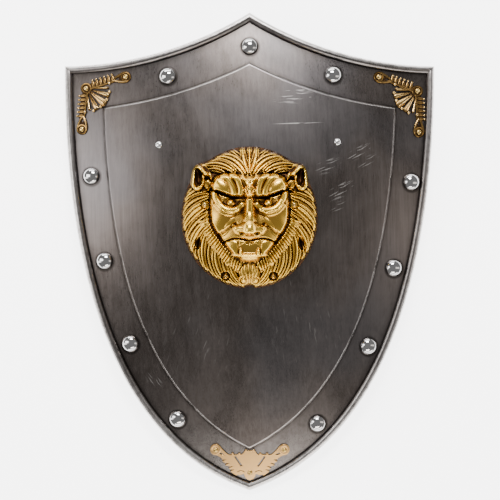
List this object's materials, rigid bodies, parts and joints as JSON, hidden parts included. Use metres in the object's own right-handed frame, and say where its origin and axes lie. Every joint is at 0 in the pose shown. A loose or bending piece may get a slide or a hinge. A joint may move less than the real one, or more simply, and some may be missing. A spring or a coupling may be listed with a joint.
{
  "type": "shield",
  "caption": "Steel heater shield with a wired edge, raised inner panel, lion's head boss, brass corner fittings, domed rivets and a strap handle behind, lying face up.",
  "frame": {"origin": "centre of the bounding box in X and Y, at its lowest Z, which is the floor that the shield lies on", "axes": "+Y towards the shield's peak, +Z out of its front face, +X to the right seen from the front"},
  "size_m": [0.4728, 0.61, 0.1135],
  "materials": {
    "plate_steel": "antiqued, brushed along its height, darker in places",
    "strap_steel": "satin",
    "antique_gold": "antique gold, dark in the recesses",
    "fitting_brass": "pale bright brass",
    "pin_brass": "bright brass",
    "rivet_chrome": "mirror polish",
    "small_rivet_steel": "polished"
  },
  "bodies": {
    "root": {"shield_plate": "plate_steel", "back_handle": "strap_steel", "lion_head": "antique_gold", "fitting_left": "fitting_brass", "fitting_right": "fitting_brass", "fitting_tip": "fitting_brass", "rivet_peak": "rivet_chrome", "rivet_top_left": "rivet_chrome", "rivet_top_right": "rivet_chrome", "rivet_left_1": "rivet_chrome", "rivet_left_2": "rivet_chrome", "rivet_left_3": "rivet_chrome", "rivet_left_4": "rivet_chrome", "rivet_right_1": "rivet_chrome", "rivet_right_2": "rivet_chrome", "rivet_right_3": "rivet_chrome", "rivet_right_4": "rivet_chrome", "handle_rivet_left": "small_rivet_steel", "handle_rivet_right": "small_rivet_steel", "pin_left_1": "pin_brass", "pin_left_2": "pin_brass", "pin_left_3": "pin_brass", "pin_right_1": "pin_brass", "pin_right_2": "pin_brass", "pin_right_3": "pin_brass", "pin_tip_1": "pin_brass", "pin_tip_2": "pin_brass", "pin_tip_3": "pin_brass", "lion_screw_1": "pin_brass", "lion_screw_2": "pin_brass", "lion_screw_3": "pin_brass", "lion_screw_4": "pin_brass"}
  },
  "joints": []
}
